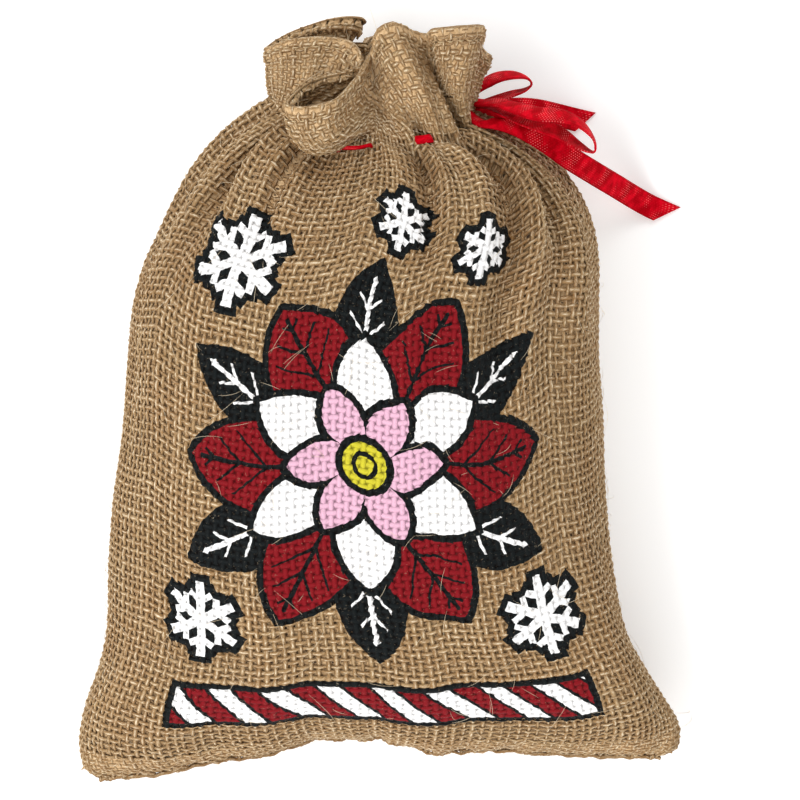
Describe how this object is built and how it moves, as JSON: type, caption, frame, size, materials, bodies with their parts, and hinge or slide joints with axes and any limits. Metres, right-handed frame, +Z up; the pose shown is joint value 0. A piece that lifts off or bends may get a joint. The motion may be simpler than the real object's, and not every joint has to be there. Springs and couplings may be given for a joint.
{
  "type": "hessian sack",
  "caption": "Small filled hessian sack lying on its back, its neck gathered into a ruffle by a red satin ribbon tied in a bow at the side.",
  "frame": {"origin": "on the floor, under the middle of the sack's bounding box", "axes": "+Z up, away from the back that the sack lies on and out of its front; +Y from the bottom seam towards the tied mouth; +X to the right as the front is seen with the mouth at the top"},
  "size_m": [0.1656, 0.2058, 0.0711],
  "materials": {
    "jute": "matt coarse plain weave",
    "red_satin": "satin"
  },
  "bodies": {
    "root": {"sack": "jute", "ribbon_knot": "red_satin", "ribbon_loop_top": "red_satin", "ribbon_loop_low": "red_satin", "ribbon_tail_upper": "red_satin", "ribbon_tail_lower": "red_satin", "ribbon_stitch_1": "red_satin", "ribbon_stitch_2": "red_satin", "ribbon_stitch_3": "red_satin", "ribbon_stitch_4": "red_satin", "ribbon_stitch_5": "red_satin", "ribbon_stitch_6": "red_satin", "ribbon_stitch_7": "red_satin"}
  },
  "joints": []
}
